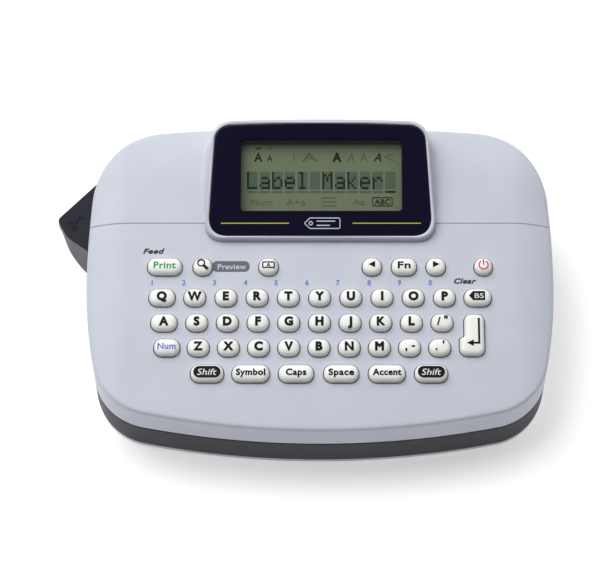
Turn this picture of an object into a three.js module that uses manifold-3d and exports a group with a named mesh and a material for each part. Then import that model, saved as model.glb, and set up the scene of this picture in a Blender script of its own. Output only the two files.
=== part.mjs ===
// A desktop label maker: a keyboard and display in a two-part top shell, over a dark lower case
// that holds the tape cassette, the tape drive, the cutter and the battery bay.
// Millimetres, +X to the right, +Y to the rear, +Z up. The origin is the middle of the underside.
import * as THREE from "three";
import { mergeVertices } from "three/addons/utils/BufferGeometryUtils.js";
import Module from "manifold-3d";

const wasm = await Module();
wasm.setup();

const GAP = 0.3; // between touching pieces
const WALL = 2; // shell thickness

// Plan outline of the body: per end, how far it reaches from the middle and its three tangent radii.
const HALF_WIDTH = 80.5;
const FRONT = { reach: 53.6, bow: 305, corner: 21.5, side: 155 };
const REAR = { reach: 55, bow: 650, corner: 27, side: 290 };

// Heights of the layers, from the underside up.
const COVER_TOP = 2.4;
const COVER = { inset: 0.4, bevel: 0.8 };
const BOTTOM_CASE = { low: COVER_TOP + GAP, high: 13.7, floor: 2 };
const PARTING = BOTTOM_CASE.high + GAP;
const CLEAR_ABOVE = 90; // anything over the finished height

// The keypad fascia is a plane tilted towards the user, which rolls off at both sides and the rear.
const FASCIA_TILT = THREE.MathUtils.degToRad(10);
const FASCIA_HEIGHT = 34.5; // where the plane crosses the origin's vertical
const SIDE_ROLL = { start: 66, end: 90, drop: 10.4 };
const REAR_ROLL = { start: 36, end: 60, drop: 3 };
const SEAM_Y = 19; // between the front and the rear top shells

// The display hump: a steeper plane on a tapering plan, whose front reaches over the seam.
const HUMP_TILT = THREE.MathUtils.degToRad(18.3);
const HUMP_HEIGHT = 34.2; // where the lens surface crosses the origin's vertical
const HUMP_BASE = 30;
const HUMP = { front: 12.5, rear: 54.4, frontHalf: 39.6, rearHalf: 37.3, frontRadius: 6.5, rearRadius: 9 };
const HUMP_BACK = { round: 2.4, beyond: 0.3, lean: 1.6 }; // its rear wall, which leans forwards
const RIM = { proud: 0.5, side: 1.3, front: 1.1, rear: 3.8 };
const LENS_THICKNESS = 1.6;
const LEDGE_THICKNESS = 2;
const WINDOW = { left: -27.4, right: 28.3, front: 22.1, rear: 46, corner: 1.2 };
const LCD = { overlap: 2.2, thickness: 2.5, corner: 1 };

// Keys, along the fascia's normal: their tops, their retaining flanges, the silicone mat and the board.
const KEY = { proud: 2, corner: 2.75, depth: 6, chamfer: 0.6, flange: 0.7, clearance: 0.3 };
const FLANGE = { top: -2.5, thickness: 1 };
const MAT = { top: -4.6, thickness: 1.2 };
const BOARD = { top: -6.1, thickness: 1.6 };
const UNDER_KEYS = { half: 61, front: -41, rear: 9, corner: 4 };

// Tape path, on the left of the case: cassette, drive, head, cutter.
const CASSETTE = { x: [-53.5, 4.5], y: [-5, 41], z: [8, 24], corner: 4 };
const REELS = { x: [-38.5, -11.5], radius: 5.25, depth: 3 };
const TAPE_BAY = { x: [-56, 6.5], y: [-7, 43.5], top: 17 };
const TAPE_WAY = { x: [-59, -55], y: [30, 43.5] }; // from the cassette to the roller
const BATTERY_BAY = { x: [11, 59], y: [-5, 40], top: 16.5 };
const BAY_WALL = 1.5;
const LATCH = { x: [-9, 9], y: [44, 47], depth: 0.8 };
const PLATEN = { x: -61, y: 37.5, radius: 5, low: 8.5, high: 23.5, shaft: 1.5, shaftLow: 6, shaftHigh: 28.1 };
const HEAD = { x: [-65.5, -57.5], y: [42.9, 44.7], z: [9, 23] };
const GEAR = { module: 0.8, low: 25, high: 27.5, teeth: 20, pinionTeeth: 10, backlash: 0.15 };
// A gear tooth, its heights in modules and its half widths in shares of the pitch.
const TOOTH = { tip: 0.6, root: 1.1, tipShare: 0.11, rootShare: 0.27 };
const MOTOR = { radius: 6, low: 28.2, high: 37.6, shaft: 1, shaftLow: 24.5 };
const LEVER_PIVOT = { x: -48, y: 30, pin: 1.8, pinLow: 27.9, ring: 4.5 };
const LEVER = { low: 12, top: 31, arm: 2.5, armHalf: 3, armLeft: -78 };
const WING = { inner: -74, front: 12.2, rear: 38.5, shoulder: [-76, 39.7], behindTip: [-89, 27] };
const WING_TIP = { rear: [-91.9, 24.2], point: [-90.4, 21.4], front: [-87, 16.2], root: [-81, 12.2] };
const WING_SWEEP = { root: -80, bend: [-88, 13.5], tip: [-90, 27], out: [-95, 27.5] }; // its underside
const LEVER_SLOT = { x: [-95, -64.5], y: [11.4, 45.5], z: [9.5, 32] };
const BLADE = { x: -73.4, thickness: 0.6, y: [24, 40.6], z: [10, 24] };
const POSTS = [[-64, -28], [64, -28], [66, 24], [7.5, 49]];
const POST = { radius: 3.2, hole: 1.1, top: 13 };

// Straight steps for each curve of an outline; three.js takes twice as many on an arc.
const BODY_STEPS = 3;
const CURVE_STEPS = 5;
const CORNER_STEPS = 1;

const plastic = (color, roughness = 0.55) =>
  new THREE.MeshStandardMaterial({ color, roughness, metalness: 0 });
const metal = (color, roughness = 0.35) =>
  new THREE.MeshStandardMaterial({ color, roughness, metalness: 0.9 });

const MATERIALS = {
  shell: plastic(0xc9cdd8),
  darkCase: plastic(0x3f3f46),
  cover: plastic(0xa6a6aa),
  lens: plastic(0x181429, 0.15),
  glass: plastic(0x76826a, 0.3),
  key: plastic(0xebebe6, 0.45),
  silicone: plastic(0x8b8f94, 0.8),
  board: plastic(0x2e6b45, 0.5),
  lever: plastic(0x232230, 0.5),
  cassette: plastic(0xd8d8d2, 0.5),
  rubber: plastic(0x202022, 0.9),
  ceramic: plastic(0xb9b3a8, 0.4),
  steel: metal(0xb8bbc0),
  brass: metal(0xb5974f),
};

// ---- solids and meshes -------------------------------------------------------------------------

function solid(geometry) {
  const bare = geometry.index ? geometry.toNonIndexed() : geometry.clone();
  bare.deleteAttribute("normal");
  bare.deleteAttribute("uv");
  const merged = mergeVertices(bare, 1e-4);
  return new wasm.Manifold(
    new wasm.Mesh({
      numProp: 3,
      vertProperties: merged.attributes.position.array,
      triVerts: new Uint32Array(merged.index.array),
    }),
  );
}

function meshOf(name, body, material) {
  const made = body.getMesh();
  const geometry = new THREE.BufferGeometry();
  geometry.setAttribute("position", new THREE.BufferAttribute(made.vertProperties, 3));
  geometry.setIndex(new THREE.BufferAttribute(made.triVerts, 1));
  geometry.computeVertexNormals();
  const mesh = new THREE.Mesh(geometry, material);
  mesh.name = name;
  return mesh;
}

function box(x, y, z) {
  const geometry = new THREE.BoxGeometry(x[1] - x[0], y[1] - y[0], z[1] - z[0]);
  return solid(geometry.translate((x[0] + x[1]) / 2, (y[0] + y[1]) / 2, (z[0] + z[1]) / 2));
}

function cylinder(x, y, radius, low, high, sides = 20) {
  const geometry = new THREE.CylinderGeometry(radius, radius, high - low, sides);
  return solid(geometry.rotateX(Math.PI / 2).translate(x, y, (low + high) / 2));
}

// The shape as straight steps, without the doubled points where two of its arcs meet.
function stepped(shape, steps) {
  const points = shape.getPoints(steps);
  const apart = (a, b) => a.distanceTo(b) > 1e-3;
  const kept = points.filter((point, i) => apart(point, points[(i + 1) % points.length]));
  return new THREE.Shape(kept);
}

// A flat outline raised between two heights, the plain prism that most pieces start from.
function prismGeometry(shape, low, high, steps = CURVE_STEPS) {
  const options = { depth: high - low, bevelEnabled: false };
  return new THREE.ExtrudeGeometry(stepped(shape, steps), options).translate(0, 0, low);
}

// The same with both its edges bevelled inwards.
function bevelledPrism(shape, low, high, bevel, steps) {
  const options = {
    depth: high - low - 2 * bevel,
    bevelThickness: bevel,
    bevelSize: bevel,
    bevelOffset: -bevel,
    bevelSegments: 1,
  };
  const geometry = new THREE.ExtrudeGeometry(stepped(shape, steps), options);
  return solid(geometry.translate(0, 0, low + bevel));
}

const prism = (shape, low, high, steps) => solid(prismGeometry(shape, low, high, steps));

// The same between two planes that climb to the rear, at these heights over the origin.
function slopedPlate(shape, low, high, tilt) {
  const shear = new THREE.Matrix4().makeShear(0, 0, 0, Math.tan(tilt), 0, 0);
  return solid(prismGeometry(shape, low, high).applyMatrix4(shear));
}

// ---- outlines ----------------------------------------------------------------------------------

// One end of the body's plan: the centres and meeting angles of its bow, corner and side arcs.
function endArcs(end) {
  const bow = new THREE.Vector2(0, end.reach - end.bow);
  const side = new THREE.Vector2(HALF_WIDTH - end.side, 0);
  const toCorner = end.bow - end.corner;
  const fromSide = end.side - end.corner;
  const apart = bow.distanceTo(side);
  const along = (toCorner ** 2 - fromSide ** 2 + apart ** 2) / (2 * apart);
  const aside = Math.sqrt(toCorner ** 2 - along ** 2);
  const line = side.clone().sub(bow).divideScalar(apart);
  const corner = bow.clone().addScaledVector(line, along);
  corner.add(new THREE.Vector2(line.y, -line.x).multiplyScalar(aside));
  const sideAngle = corner.clone().sub(side).angle();
  const bowAngle = corner.clone().sub(bow).angle();
  return { bow, side, corner, sideAngle, bowAngle };
}

// The body's plan outline, moved inwards by inset.
function bodyOutline(inset = 0) {
  const shape = new THREE.Shape();
  const rear = endArcs(REAR);
  const front = endArcs(FRONT);
  const arc = (centre, radius, from, to) => shape.absarc(...centre, radius - inset, from, to);
  arc([rear.side.x, 0], REAR.side, 0, rear.sideAngle);
  arc([rear.corner.x, rear.corner.y], REAR.corner, rear.sideAngle, rear.bowAngle);
  arc([0, rear.bow.y], REAR.bow, rear.bowAngle, Math.PI - rear.bowAngle);
  arc([-rear.corner.x, rear.corner.y], REAR.corner, Math.PI - rear.bowAngle, Math.PI - rear.sideAngle);
  arc([-rear.side.x, 0], REAR.side, Math.PI - rear.sideAngle, Math.PI);
  arc([-front.side.x, 0], FRONT.side, Math.PI, Math.PI + front.sideAngle);
  arc([-front.corner.x, -front.corner.y], FRONT.corner, Math.PI + front.sideAngle, Math.PI + front.bowAngle);
  arc([0, -front.bow.y], FRONT.bow, Math.PI + front.bowAngle, 2 * Math.PI - front.bowAngle);
  arc([front.corner.x, -front.corner.y], FRONT.corner, -front.bowAngle, -front.sideAngle);
  arc([front.side.x, 0], FRONT.side, -front.sideAngle, 0);
  return shape;
}

// A rounded four-sided outline, symmetric about x = 0, wider at one end than at the other.
function taperedOutline(front, rear, frontHalf, rearHalf, frontRadius, rearRadius) {
  const shape = new THREE.Shape();
  shape.moveTo(-frontHalf + frontRadius, front);
  shape.lineTo(frontHalf - frontRadius, front);
  shape.quadraticCurveTo(frontHalf, front, frontHalf, front + frontRadius);
  shape.lineTo(rearHalf, rear - rearRadius);
  shape.quadraticCurveTo(rearHalf, rear, rearHalf - rearRadius, rear);
  shape.lineTo(-rearHalf + rearRadius, rear);
  shape.quadraticCurveTo(-rearHalf, rear, -rearHalf, rear - rearRadius);
  shape.lineTo(-frontHalf, front + frontRadius);
  shape.quadraticCurveTo(-frontHalf, front, -frontHalf + frontRadius, front);
  return shape;
}

function roundedRectangle(x, y, radius) {
  const shape = new THREE.Shape();
  shape.absarc(x[1] - radius, y[0] + radius, radius, -Math.PI / 2, 0);
  shape.absarc(x[1] - radius, y[1] - radius, radius, 0, Math.PI / 2);
  shape.absarc(x[0] + radius, y[1] - radius, radius, Math.PI / 2, Math.PI);
  shape.absarc(x[0] + radius, y[0] + radius, radius, Math.PI, 1.5 * Math.PI);
  return shape;
}

const humpOutline = (inset = 0) =>
  taperedOutline(HUMP.front + inset, HUMP.rear - inset, HUMP.frontHalf - inset,
    HUMP.rearHalf - inset, HUMP.frontRadius, HUMP.rearRadius);

const lensOutline = (inset = 0) =>
  taperedOutline(HUMP.front + RIM.front + inset, HUMP.rear - RIM.rear - inset,
    HUMP.frontHalf - RIM.side - inset, HUMP.rearHalf - RIM.side - inset, HUMP.frontRadius,
    HUMP.rearRadius);

// ---- the top shell -----------------------------------------------------------------------------

// A profile in the XZ plane, run along Y over the whole body.
function alongY(shape) {
  return prismGeometry(shape, -CLEAR_ABOVE, CLEAR_ABOVE).rotateX(Math.PI / 2);
}

// A profile in the YZ plane, run along X over the whole body.
function alongX(shape) {
  return alongY(shape).rotateZ(Math.PI / 2);
}

function sideRollProfile(height) {
  const { start, end, drop } = SIDE_ROLL;
  const middle = (start + end) / 2;
  const shape = new THREE.Shape();
  shape.moveTo(-end, -CLEAR_ABOVE);
  shape.lineTo(end, -CLEAR_ABOVE);
  shape.lineTo(end, height - drop);
  shape.quadraticCurveTo(middle, height, start, height);
  shape.lineTo(-start, height);
  shape.quadraticCurveTo(-middle, height, -end, height - drop);
  return shape;
}

function rearRollProfile(height) {
  const { start, end, drop } = REAR_ROLL;
  const shape = new THREE.Shape();
  shape.moveTo(-end, -CLEAR_ABOVE);
  shape.lineTo(end, -CLEAR_ABOVE);
  shape.lineTo(end, height - drop);
  shape.quadraticCurveTo((start + end) / 2, height, start, height);
  shape.lineTo(-end, height);
  return shape;
}

// Everything under the top shell's outer surface, or under the surface one inset further in.
function upperBlock(inset) {
  const height = FASCIA_HEIGHT - inset;
  const shear = new THREE.Matrix4().makeShear(0, 0, 0, Math.tan(FASCIA_TILT), 0, 0);
  return prism(bodyOutline(inset), PARTING - inset, CLEAR_ABOVE, BODY_STEPS)
    .intersect(solid(alongY(sideRollProfile(height)).applyMatrix4(shear)))
    .intersect(solid(alongX(rearRollProfile(height)).applyMatrix4(shear)));
}

// The hump's side view: its sloping top, rounded down to the rear wall.
function humpProfile(height) {
  const rise = Math.tan(HUMP_TILT);
  const { round, beyond, lean } = HUMP_BACK;
  const foot = HUMP.rear + beyond;
  const corner = foot - lean;
  const shape = new THREE.Shape();
  shape.moveTo(0, HUMP_BASE);
  shape.lineTo(foot, HUMP_BASE);
  shape.lineTo(corner, height + corner * rise - round);
  shape.quadraticCurveTo(corner, height + corner * rise, corner - round, height + (corner - round) * rise);
  shape.lineTo(0, height);
  return shape;
}

function humpBlock(inset, height) {
  const walls = prism(humpOutline(inset), HUMP_BASE - inset, CLEAR_ABOVE);
  return walls.intersect(solid(alongX(humpProfile(height))));
}

function topShell() {
  const hollowTop = HUMP_HEIGHT - LENS_THICKNESS - LEDGE_THICKNESS;
  const outside = upperBlock(0).add(humpBlock(0, HUMP_HEIGHT + RIM.proud));
  const humpHollow = prism(humpOutline(WALL), HUMP_BASE - WALL, CLEAR_ABOVE)
    .intersect(solid(alongX(humpProfile(hollowTop))));
  return outside.subtract(upperBlock(WALL)).subtract(humpHollow);
}

function rearRegion() {
  const behindSeam = box([-CLEAR_ABOVE, CLEAR_ABOVE], [SEAM_Y + GAP / 2, CLEAR_ABOVE], [0, CLEAR_ABOVE]);
  return behindSeam.add(prism(humpOutline(), 0, CLEAR_ABOVE));
}

function leverSlot() {
  return box(LEVER_SLOT.x, LEVER_SLOT.y, LEVER_SLOT.z);
}

function rearCase(shell) {
  const pocket = slopedPlate(lensOutline(-GAP), HUMP_HEIGHT - LENS_THICKNESS - GAP, CLEAR_ABOVE, HUMP_TILT);
  const opening = roundedRectangle([WINDOW.left, WINDOW.right], [WINDOW.front, WINDOW.rear],
    WINDOW.corner);
  const { x, y, pin, pinLow } = LEVER_PIVOT;
  const hingePin = cylinder(x, y, pin, pinLow, CLEAR_ABOVE, 12);
  return shell
    .intersect(rearRegion())
    .subtract(pocket)
    .subtract(prism(opening, HUMP_BASE, CLEAR_ABOVE, CORNER_STEPS))
    .subtract(leverSlot())
    .add(hingePin.intersect(upperBlock(WALL / 2)));
}

function frontCase(shell, keys) {
  const aheadOfSeam = box([-CLEAR_ABOVE, CLEAR_ABOVE], [-CLEAR_ABOVE, SEAM_Y - GAP / 2], [0, CLEAR_ABOVE]);
  const notch = prism(humpOutline(-GAP), 0, CLEAR_ABOVE);
  const holes = keys.map((key) => keyHole(key)).reduce((all, hole) => all.add(hole));
  return shell.intersect(aheadOfSeam).subtract(notch).subtract(leverSlot()).subtract(holes);
}

// ---- keys --------------------------------------------------------------------------------------

const LETTER_WIDTH = 7.3;
const ROUND_WIDTH = 6.5;

// A run of equal letter keys from the first one's x, at a fixed pitch.
function letterRun(names, first, pitch) {
  return names.map((name, i) => ({ name, x: first + i * pitch, width: LETTER_WIDTH }));
}

const wide = (name, x, width) => ({ name, x, width });

const KEY_ROWS = [
  {
    y: 3.3,
    keys: [
      wide("print", -53.3, 11.7), wide("preview", -40.3, ROUND_WIDTH), wide("frame", -17.7, ROUND_WIDTH),
      wide("left", 17.8, ROUND_WIDTH), wide("fn", 28.8, 8.5), wide("right", 39.7, ROUND_WIDTH),
      wide("power", 56, 6.1),
    ],
  },
  {
    y: -7.6,
    keys: [
      wide("q", -54.1, 8.8),
      ...letterRun(["w", "e", "r", "t", "y", "u", "i", "o", "p"], -42.9, 10.68),
      wide("backspace", 53.9, 9.2),
    ],
  },
  {
    y: -16.4,
    keys: [
      wide("a", -53.3, 8.8),
      ...letterRun(["s", "d", "f", "g", "h", "j", "k", "l", "slash"], -42.1, 10.46),
    ],
  },
  {
    y: -25.1,
    keys: [
      wide("num", -52.2, 8.7),
      ...letterRun(["z", "x", "c", "v", "b", "n", "m", "comma", "period"], -41.5, 10.27),
    ],
  },
  {
    y: -34.1,
    keys: [
      wide("shift_left", -38.4, 11.1), wide("symbol", -23.6, 12.6), wide("caps", -8.2, 11.8),
      wide("space", 7.1, 11.8), wide("accent", 22.6, 12.4), wide("shift_right", 37.6, 11.1),
    ],
  },
];

// The enter key spans two rows, and its lower half is wider to the left.
const ENTER = {
  x: 52.1, y: -20.75, left: -3, right: 3.8, reach: 7.3, corner: 2.4, widen: 1.6, step: -1.2, rise: 1,
};

function enterOutline(grow = 0) {
  const right = ENTER.right + grow;
  const upperLeft = ENTER.left - grow;
  const lowerLeft = upperLeft - ENTER.widen;
  const reach = ENTER.reach + grow;
  const step = ENTER.step + grow;
  const radius = ENTER.corner;
  const shape = new THREE.Shape();
  shape.absarc(right - radius, -reach + radius, radius, -Math.PI / 2, 0);
  shape.absarc(right - radius, reach - radius, radius, 0, Math.PI / 2);
  shape.absarc(upperLeft + radius, reach - radius, radius, Math.PI / 2, Math.PI);
  shape.lineTo(upperLeft, step + ENTER.rise);
  shape.lineTo(lowerLeft, step);
  shape.absarc(lowerLeft + radius, -reach + radius, radius, Math.PI, 1.5 * Math.PI);
  return shape;
}

function capOutline(width, grow = 0) {
  const half = width / 2 + grow;
  const reach = KEY.depth / 2 + grow;
  return roundedRectangle([-half, half], [-reach, reach], KEY.corner + grow);
}

const outlineOf = (key, grow) => (key.width ? capOutline(key.width, grow) : enterOutline(grow));

const KEYS = KEY_ROWS.flatMap(({ y, keys }) => keys.map((key) => ({ ...key, y })));
KEYS.push({ name: "enter", x: ENTER.x, y: ENTER.y });

// Puts a piece made on the fascia, with z along its normal, in place at a point of the plan.
function onFascia(object, x, y) {
  object.rotation.set(FASCIA_TILT, 0, 0);
  object.position.set(x, y, FASCIA_HEIGHT + y * Math.tan(FASCIA_TILT));
  return object;
}

function keyHole(key) {
  const shape = outlineOf(key, KEY.clearance);
  const geometry = prismGeometry(shape, -2 * WALL, 2 * WALL, CORNER_STEPS);
  const place = onFascia(new THREE.Object3D(), key.x, key.y);
  place.updateMatrix();
  return solid(geometry.applyMatrix4(place.matrix));
}

// A key: a chamfered cap above the fascia, and under it the flange that keeps it in.
function keyMesh(key) {
  const low = FLANGE.top - FLANGE.thickness / 2;
  const cap = bevelledPrism(outlineOf(key, 0), low, KEY.proud, KEY.chamfer, CORNER_STEPS);
  const flangeLow = FLANGE.top - FLANGE.thickness;
  const flange = prism(outlineOf(key, KEY.flange), flangeLow, FLANGE.top, CORNER_STEPS);
  const mesh = meshOf("key_" + key.name, cap.add(flange), MATERIALS.key.clone());
  return onFascia(mesh, key.x, key.y);
}

function underKeys(name, layer, material) {
  const { half, front, rear, corner } = UNDER_KEYS;
  const shape = roundedRectangle([-half, half], [front, rear], corner);
  const plate = prism(shape, layer.top - layer.thickness, layer.top, CORNER_STEPS);
  return onFascia(meshOf(name, plate, material), 0, 0);
}

// ---- display -----------------------------------------------------------------------------------

function displayLens() {
  return slopedPlate(lensOutline(), HUMP_HEIGHT - LENS_THICKNESS, HUMP_HEIGHT, HUMP_TILT);
}

function lcdPanel() {
  const { left, right, front, rear } = WINDOW;
  const high = HUMP_HEIGHT - LENS_THICKNESS - LEDGE_THICKNESS - 2 * GAP;
  const shape = roundedRectangle([left - LCD.overlap, right + LCD.overlap],
    [front - LCD.overlap, rear + LCD.overlap], LCD.corner);
  return slopedPlate(shape, high - LCD.thickness, high, HUMP_TILT);
}

// ---- lower case --------------------------------------------------------------------------------

function bayWalls(bay) {
  const x = [bay.x[0] - BAY_WALL, bay.x[1] + BAY_WALL];
  const y = [bay.y[0] - BAY_WALL, bay.y[1] + BAY_WALL];
  return box(x, y, [BOTTOM_CASE.low, bay.top]);
}

// The hollow of a bay, open at the underside, and also at the top where it has no roof.
function bayHollow(bay, roof) {
  return box(bay.x, bay.y, [0, bay.top - roof]);
}

function bottomCase() {
  const { low, high, floor } = BOTTOM_CASE;
  const hollow = prism(bodyOutline(WALL), low + floor, CLEAR_ABOVE, BODY_STEPS);
  const tapeWay = box(TAPE_WAY.x, TAPE_WAY.y, [low + floor, CLEAR_ABOVE]);
  let body = prism(bodyOutline(), low, high, BODY_STEPS).subtract(hollow);
  body = body.add(bayWalls(BATTERY_BAY)).add(bayWalls(TAPE_BAY));
  body = body.subtract(bayHollow(BATTERY_BAY, BAY_WALL)).subtract(bayHollow(TAPE_BAY, -1));
  body = body.subtract(tapeWay).subtract(leverSlot());
  for (const [x, y] of POSTS) {
    body = body.add(cylinder(x, y, POST.radius, low + floor / 2, POST.top, 12));
    body = body.subtract(cylinder(x, y, POST.hole, low + floor, CLEAR_ABOVE, 8));
  }
  return body;
}

// The cover that closes both bays: a plate over the whole underside, bevelled at its lower edge.
function backCover() {
  const plate = bevelledPrism(bodyOutline(COVER.inset), 0, COVER_TOP, COVER.bevel, BODY_STEPS);
  const latch = box(LATCH.x, LATCH.y, [COVER_TOP - LATCH.depth, CLEAR_ABOVE]);
  return plate.subtract(latch);
}

// ---- tape drive --------------------------------------------------------------------------------

function gearShape(teeth, phase) {
  const pitch = (GEAR.module * teeth) / 2;
  const tip = pitch + TOOTH.tip * GEAR.module;
  const root = pitch - TOOTH.root * GEAR.module;
  const { tipShare, rootShare } = TOOTH;
  const step = (2 * Math.PI) / teeth;
  const shape = new THREE.Shape();
  for (let i = 0; i < teeth; i++) {
    const middle = phase + i * step;
    const corners = [[root, -rootShare], [tip, -tipShare], [tip, tipShare], [root, rootShare]];
    for (const [radius, part] of corners) {
      const angle = middle + part * step;
      const point = [radius * Math.cos(angle), radius * Math.sin(angle)];
      if (i === 0 && part === -rootShare) shape.moveTo(...point);
      else shape.lineTo(...point);
    }
  }
  return shape;
}

// The pinion sits to the right of the roller's gear, and a little further to the rear.
const MESH_ANGLE = THREE.MathUtils.degToRad(18);
const MESH_DISTANCE = (GEAR.module * (GEAR.teeth + GEAR.pinionTeeth)) / 2 + GEAR.backlash;
const PINION = {
  x: PLATEN.x + MESH_DISTANCE * Math.cos(MESH_ANGLE),
  y: PLATEN.y + MESH_DISTANCE * Math.sin(MESH_ANGLE),
};

function platenRoller() {
  const { x, y, radius, low, high, shaft, shaftLow, shaftHigh } = PLATEN;
  const gear = prismGeometry(gearShape(GEAR.teeth, MESH_ANGLE), GEAR.low, GEAR.high).translate(x, y, 0);
  return cylinder(x, y, radius, low, high, 24)
    .add(cylinder(x, y, shaft, shaftLow, shaftHigh, 12))
    .add(solid(gear));
}

function motorPinion() {
  const halfTooth = Math.PI / GEAR.pinionTeeth;
  const phase = MESH_ANGLE + Math.PI + halfTooth;
  const gear = prismGeometry(gearShape(GEAR.pinionTeeth, phase), GEAR.low, GEAR.high);
  return solid(gear.translate(PINION.x, PINION.y, 0))
    .subtract(cylinder(PINION.x, PINION.y, MOTOR.shaft + GAP, 0, CLEAR_ABOVE, 12));
}

function feedMotor() {
  return cylinder(PINION.x, PINION.y, MOTOR.radius, MOTOR.low, MOTOR.high, 20)
    .add(cylinder(PINION.x, PINION.y, MOTOR.shaft, MOTOR.shaftLow, MOTOR.high, 10));
}

function tapeCassette() {
  const { x, y, z, corner } = CASSETTE;
  const middle = (y[0] + y[1]) / 2;
  let body = prism(roundedRectangle(x, y, corner), ...z, CORNER_STEPS);
  for (const reelX of REELS.x) {
    body = body.subtract(cylinder(reelX, middle, REELS.radius, z[1] - REELS.depth, CLEAR_ABOVE));
  }
  return body;
}

// ---- cutter ------------------------------------------------------------------------------------

// The wing's plan: a pointed thumb piece outside the body, with a straight inner edge.
function wingPlan() {
  const { inner, front, rear, shoulder, behindTip } = WING;
  const shape = new THREE.Shape();
  shape.moveTo(inner, front);
  shape.lineTo(inner, rear);
  shape.lineTo(...shoulder);
  shape.lineTo(...behindTip);
  shape.quadraticCurveTo(...WING_TIP.rear, ...WING_TIP.point);
  shape.quadraticCurveTo(...WING_TIP.front, ...WING_TIP.root);
  return shape;
}

// The wing's front view: full height beside the body, and thin at the point.
function wingProfile() {
  const { root, bend, tip, out } = WING_SWEEP;
  const shape = new THREE.Shape();
  shape.moveTo(out[0], LEVER.top);
  shape.lineTo(...out);
  shape.lineTo(...tip);
  shape.quadraticCurveTo(...bend, root, LEVER.low);
  shape.lineTo(0, LEVER.low);
  shape.lineTo(0, LEVER.top);
  return shape;
}

function cutterLever() {
  const { x, y, pin, ring } = LEVER_PIVOT;
  const wing = prism(wingPlan(), 0, CLEAR_ABOVE).intersect(solid(alongY(wingProfile())));
  const armLow = LEVER.top - LEVER.arm;
  const arm = box([LEVER.armLeft, x], [y - LEVER.armHalf, y + LEVER.armHalf], [armLow, LEVER.top]);
  const boss = cylinder(x, y, ring, armLow, LEVER.top, 20);
  const bore = cylinder(x, y, pin + GAP, 0, CLEAR_ABOVE, 16);
  return wing.add(arm).add(boss).subtract(bore);
}

function cutterBlade() {
  const half = BLADE.thickness / 2;
  return box([BLADE.x - half, BLADE.x + half], BLADE.y, BLADE.z);
}

// ---- assembly ----------------------------------------------------------------------------------

const group = new THREE.Group();
const shell = topShell();
group.add(meshOf("front_case", frontCase(shell, KEYS), MATERIALS.shell));
group.add(meshOf("rear_case", rearCase(shell), MATERIALS.shell.clone()));
group.add(meshOf("bottom_case", bottomCase(), MATERIALS.darkCase));
group.add(meshOf("back_cover", backCover(), MATERIALS.cover));
group.add(meshOf("display_lens", displayLens(), MATERIALS.lens));
group.add(meshOf("lcd_panel", lcdPanel(), MATERIALS.glass));
group.add(underKeys("keypad_mat", MAT, MATERIALS.silicone));
group.add(underKeys("main_board", BOARD, MATERIALS.board));
group.add(meshOf("tape_cassette", tapeCassette(), MATERIALS.cassette));
group.add(meshOf("platen_roller", platenRoller(), MATERIALS.rubber));
group.add(meshOf("print_head", box(HEAD.x, HEAD.y, HEAD.z), MATERIALS.ceramic));
group.add(meshOf("feed_motor", feedMotor(), MATERIALS.steel));
group.add(meshOf("motor_pinion", motorPinion(), MATERIALS.brass));
group.add(meshOf("cutter_lever", cutterLever(), MATERIALS.lever));
group.add(meshOf("cutter_blade", cutterBlade(), MATERIALS.steel.clone()));
for (const key of KEYS) group.add(keyMesh(key));

export default group;
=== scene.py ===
from math import atan2, ceil, cos, dist, pi, radians, sin, sqrt, tan

import bpy
from mathutils import Matrix, Vector


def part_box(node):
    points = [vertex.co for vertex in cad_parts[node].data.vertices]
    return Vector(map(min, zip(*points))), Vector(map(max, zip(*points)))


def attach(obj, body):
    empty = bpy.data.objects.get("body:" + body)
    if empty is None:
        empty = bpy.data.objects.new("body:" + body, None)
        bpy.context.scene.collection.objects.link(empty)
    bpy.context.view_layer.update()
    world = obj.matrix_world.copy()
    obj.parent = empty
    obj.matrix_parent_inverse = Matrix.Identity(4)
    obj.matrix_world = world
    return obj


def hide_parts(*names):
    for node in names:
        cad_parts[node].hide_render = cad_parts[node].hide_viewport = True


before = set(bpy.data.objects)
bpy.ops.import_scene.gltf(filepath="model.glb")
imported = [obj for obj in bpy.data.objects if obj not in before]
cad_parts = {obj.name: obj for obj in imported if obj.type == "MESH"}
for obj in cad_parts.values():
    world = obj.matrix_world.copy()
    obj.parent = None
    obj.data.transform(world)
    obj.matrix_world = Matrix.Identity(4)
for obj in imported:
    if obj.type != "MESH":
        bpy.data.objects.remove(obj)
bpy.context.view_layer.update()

# The look of a desktop label maker. Shapes are in millimetres in the CAD frame: +X to the right, +Y to
# the rear, +Z up, the origin in the middle of the underside. They become metres as they turn to meshes.
MM = 0.001


def corners_mm(node):
    """A CAD node's box at rest, as its lowest and highest corner in millimetres."""
    low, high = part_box(node)
    return low / MM, high / MM


# ---- sizes shared with the CAD ----

GAP = 0.3
WALL = 2.0
HALF_WIDTH = 80.5
FRONT_REACH, FRONT_BOW, FRONT_CORNER, FRONT_SIDE = 53.6, 305.0, 21.5, 155.0
REAR_REACH, REAR_BOW, REAR_CORNER, REAR_SIDE = 55.0, 650.0, 27.0, 290.0
FRONT_CORNER_AT = (56.355, -26.442)
REAR_CORNER_AT = (52.231, 25.807)
COVER_TOP = corners_mm("back_cover")[1].z
CASE_LOW = corners_mm("bottom_case")[0].z
CASE_HIGH = 13.7
CASE_FLOOR = 2.0
PARTING = corners_mm("rear_case")[0].z

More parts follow.
